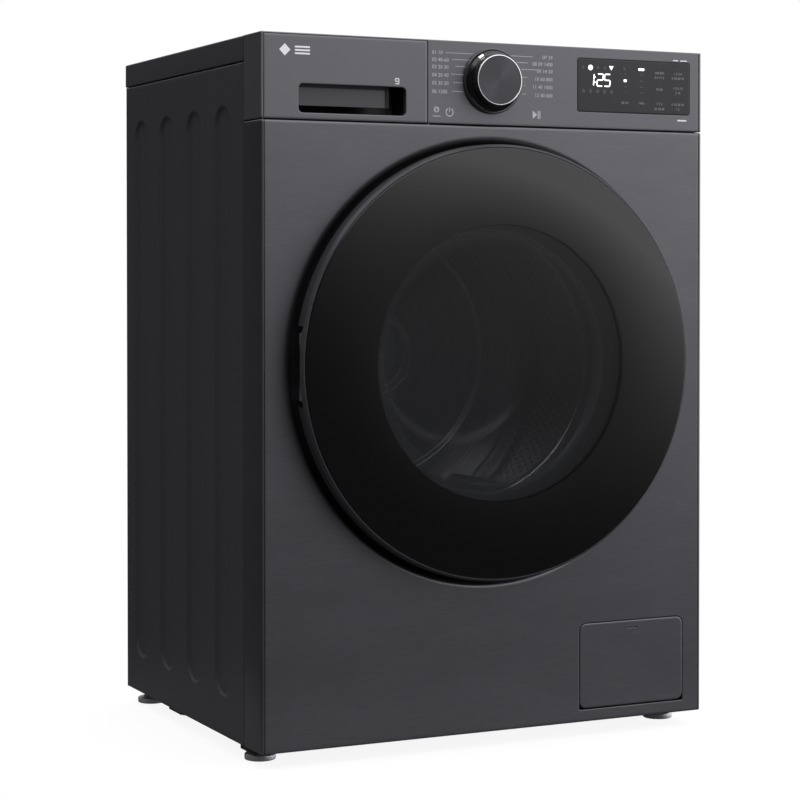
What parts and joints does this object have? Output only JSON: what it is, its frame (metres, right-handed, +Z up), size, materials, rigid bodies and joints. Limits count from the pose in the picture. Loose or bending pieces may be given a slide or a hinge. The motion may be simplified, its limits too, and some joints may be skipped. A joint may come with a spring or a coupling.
{
  "type": "front load washing machine",
  "caption": "Freestanding front load washing machine with a round flush glass door, detergent drawer, dial, display and a sprung tub with its drum and motor.",
  "frame": {"origin": "on the floor under the middle of the machine's overall box", "axes": "+Z up, the door faces -Y, +X to the right as seen by someone facing the door"},
  "size_m": [0.6, 0.5174, 0.85],
  "materials": {
    "front_steel": "brushed along X, satin",
    "fascia_satin": "satin metallic moulding",
    "cabinet_black": "fine textured powder coat",
    "galvanised": "zinc coated sheet",
    "zinc": "bright zinc",
    "display_glass": "gloss",
    "knob_black": "gloss, with a turned face",
    "door_glass": "tinted, gloss",
    "bowl_glass": "clear",
    "rim_charcoal": "satin",
    "black_plastic": "fine grain",
    "circuit_green": "lacquered board",
    "white_plastic": "satin",
    "tub_plastic": "filled moulding",
    "concrete": "cast",
    "stainless": "bright",
    "lifter_plastic": "satin",
    "cast_aluminium": "as cast",
    "machined_steel": "turned",
    "winding_copper": "enamelled wire",
    "damper_plastic": "smooth",
    "gasket_grey": "matte",
    "hose_black": "matte",
    "foot_grey": "satin"
  },
  "bodies": {
    "cabinet": {"side_panel_left": "cabinet_black", "side_panel_right": "cabinet_black", "rear_panel": "galvanised", "rear_service_cover": "galvanised", "front_panel": "front_steel", "top_lid": "cabinet_black", "control_panel": "fascia_satin", "display_window": "display_glass", "dial_bezel": "knob_black", "display_board": "circuit_green", "dispenser_housing": "white_plastic", "inlet_valve": "white_plastic", "main_board_case": "black_plastic", "base_frame": "galvanised", "pump_housing": "tub_plastic", "pump_motor": "machined_steel", "door_lock": "black_plastic", "hinge_bracket": "galvanised", "drain_hose": "hose_black", "cord_gland": "black_plastic", "transit_caps": "black_plastic", "cabinet_screws": "zinc", "foot_locknuts": "zinc", "filter_bezel": "black_plastic"},
    "tub": {"tub_front": "tub_plastic", "tub_rear": "tub_plastic", "counterweight_upper": "concrete", "counterweight_lower": "concrete", "heater": "stainless", "stator": "winding_copper", "tub_bearings": "machined_steel", "suspension_springs": "machined_steel", "door_gasket": "gasket_grey", "fill_hose": "hose_black", "sump_hose": "hose_black"},
    "drum": {"drum_shell": "stainless", "drum_lifters": "lifter_plastic", "drum_spider": "cast_aluminium", "drum_shaft": "machined_steel", "rotor": "machined_steel"},
    "door": {"door_glass": "door_glass", "door_outer_frame": "rim_charcoal", "door_inner_frame": "black_plastic", "door_bowl": "bowl_glass", "door_hinge_arm": "galvanised"},
    "latch_hook": {"door_hook": "machined_steel"},
    "drawer": {"drawer_front": "fascia_satin", "drawer_tray": "white_plastic"},
    "dial": {"dial_knob": "knob_black"},
    "hatch": {"filter_cover": "front_steel"},
    "filter": {"pump_filter": "tub_plastic"},
    "impeller": {"pump_impeller": "tub_plastic"},
    "damper_left_sleeve": {"damper_tube_left": "damper_plastic"},
    "damper_left_piston": {"damper_rod_left": "machined_steel"},
    "damper_right_sleeve": {"damper_tube_right": "damper_plastic"},
    "damper_right_piston": {"damper_rod_right": "machined_steel"},
    "levelling_foot_left_front": {"foot_left_front": "foot_grey"},
    "levelling_foot_left_rear": {"foot_left_rear": "foot_grey"},
    "levelling_foot_right_front": {"foot_right_front": "foot_grey"},
    "levelling_foot_right_rear": {"foot_right_rear": "foot_grey"}
  },
  "joints": [
    {"name": "tub_bounce", "type": "slide", "parent": "cabinet", "child": "tub", "axis": [0, 0, 1], "range_m": [-0.012, 0.012], "stiffness_N_per_m": 20000, "springref_m": 0.0151, "deforming": ["suspension_springs", "door_gasket", "fill_hose", "sump_hose"]},
    {"name": "drum_spin", "type": "hinge", "parent": "tub", "child": "drum", "pos_m": [0, -0.02875, 0.465], "axis": [0, 1, 0], "continuous": true},
    {"name": "door_swing", "type": "hinge", "parent": "cabinet", "child": "door", "pos_m": [-0.25, -0.24275, 0.465], "axis": [0, 0, -1], "range_deg": [0, 150]},
    {"name": "hook_tilt", "type": "hinge", "parent": "door", "child": "latch_hook", "pos_m": [0.22, -0.23025, 0.465], "axis": [0, 0, 1], "range_deg": [-4, 4], "stiffness_Nm_per_rad": 0.5},
    {"name": "drawer_slide", "type": "slide", "parent": "cabinet", "child": "drawer", "axis": [0, -1, 0], "range_m": [0, 0.235]},
    {"name": "dial_turn", "type": "hinge", "parent": "cabinet", "child": "dial", "pos_m": [0, -0.24075, 0.8035], "axis": [0, 1, 0], "continuous": true},
    {"name": "filter_cover_swing", "type": "hinge", "parent": "cabinet", "child": "hatch", "pos_m": [0.1979, -0.22275, 0.0398], "axis": [1, 0, 0], "range_deg": [0, 90]},
    {"name": "pump_filter_turn", "type": "hinge", "parent": "cabinet", "child": "filter", "pos_m": [0.2, -0.18875, 0.086], "axis": [0, -1, 0], "range_deg": [0, 90]},
    {"name": "pump_impeller_spin", "type": "hinge", "parent": "cabinet", "child": "impeller", "pos_m": [0.2, -0.11875, 0.086], "axis": [0, 1, 0], "continuous": true},
    {"name": "damper_left_swing", "type": "hinge", "parent": "cabinet", "child": "damper_left_sleeve", "pos_m": [-0.235, -0.02875, 0.048], "axis": [0, 1, 0], "range_deg": [-1.5, 1.5]},
    {"name": "damper_left_stroke", "type": "slide", "parent": "damper_left_sleeve", "child": "damper_left_piston", "axis": [0.381, 0, 0.9246], "range_m": [-0.0125, 0.0125]},
    {"name": "damper_right_swing", "type": "hinge", "parent": "cabinet", "child": "damper_right_sleeve", "pos_m": [0.235, -0.02875, 0.048], "axis": [0, 1, 0], "range_deg": [-1.5, 1.5]},
    {"name": "damper_right_stroke", "type": "slide", "parent": "damper_right_sleeve", "child": "damper_right_piston", "axis": [-0.381, 0, 0.9246], "range_m": [-0.0125, 0.0125]},
    {"name": "foot_left_front_turn", "type": "hinge", "parent": "cabinet", "child": "levelling_foot_left_front", "pos_m": [-0.276, -0.16575, 0.02], "axis": [0, 0, 1], "range_deg": [0, 2880]},
    {"name": "foot_left_rear_turn", "type": "hinge", "parent": "cabinet", "child": "levelling_foot_left_rear", "pos_m": [-0.276, 0.21625, 0.02], "axis": [0, 0, 1], "range_deg": [0, 2880]},
    {"name": "foot_right_front_turn", "type": "hinge", "parent": "cabinet", "child": "levelling_foot_right_front", "pos_m": [0.276, -0.16575, 0.02], "axis": [0, 0, 1], "range_deg": [0, 2880]},
    {"name": "foot_right_rear_turn", "type": "hinge", "parent": "cabinet", "child": "levelling_foot_right_rear", "pos_m": [0.276, 0.21625, 0.02], "axis": [0, 0, 1], "range_deg": [0, 2880]}
  ],
  "couplings": [
    {"joint": "damper_left_swing", "follows": "tub_bounce", "rad_per_m": -1.9355},
    {"joint": "damper_left_stroke", "follows": "tub_bounce", "ratio": 0.92457},
    {"joint": "damper_right_swing", "follows": "tub_bounce", "rad_per_m": 1.9355},
    {"joint": "damper_right_stroke", "follows": "tub_bounce", "ratio": 0.92457}
  ]
}
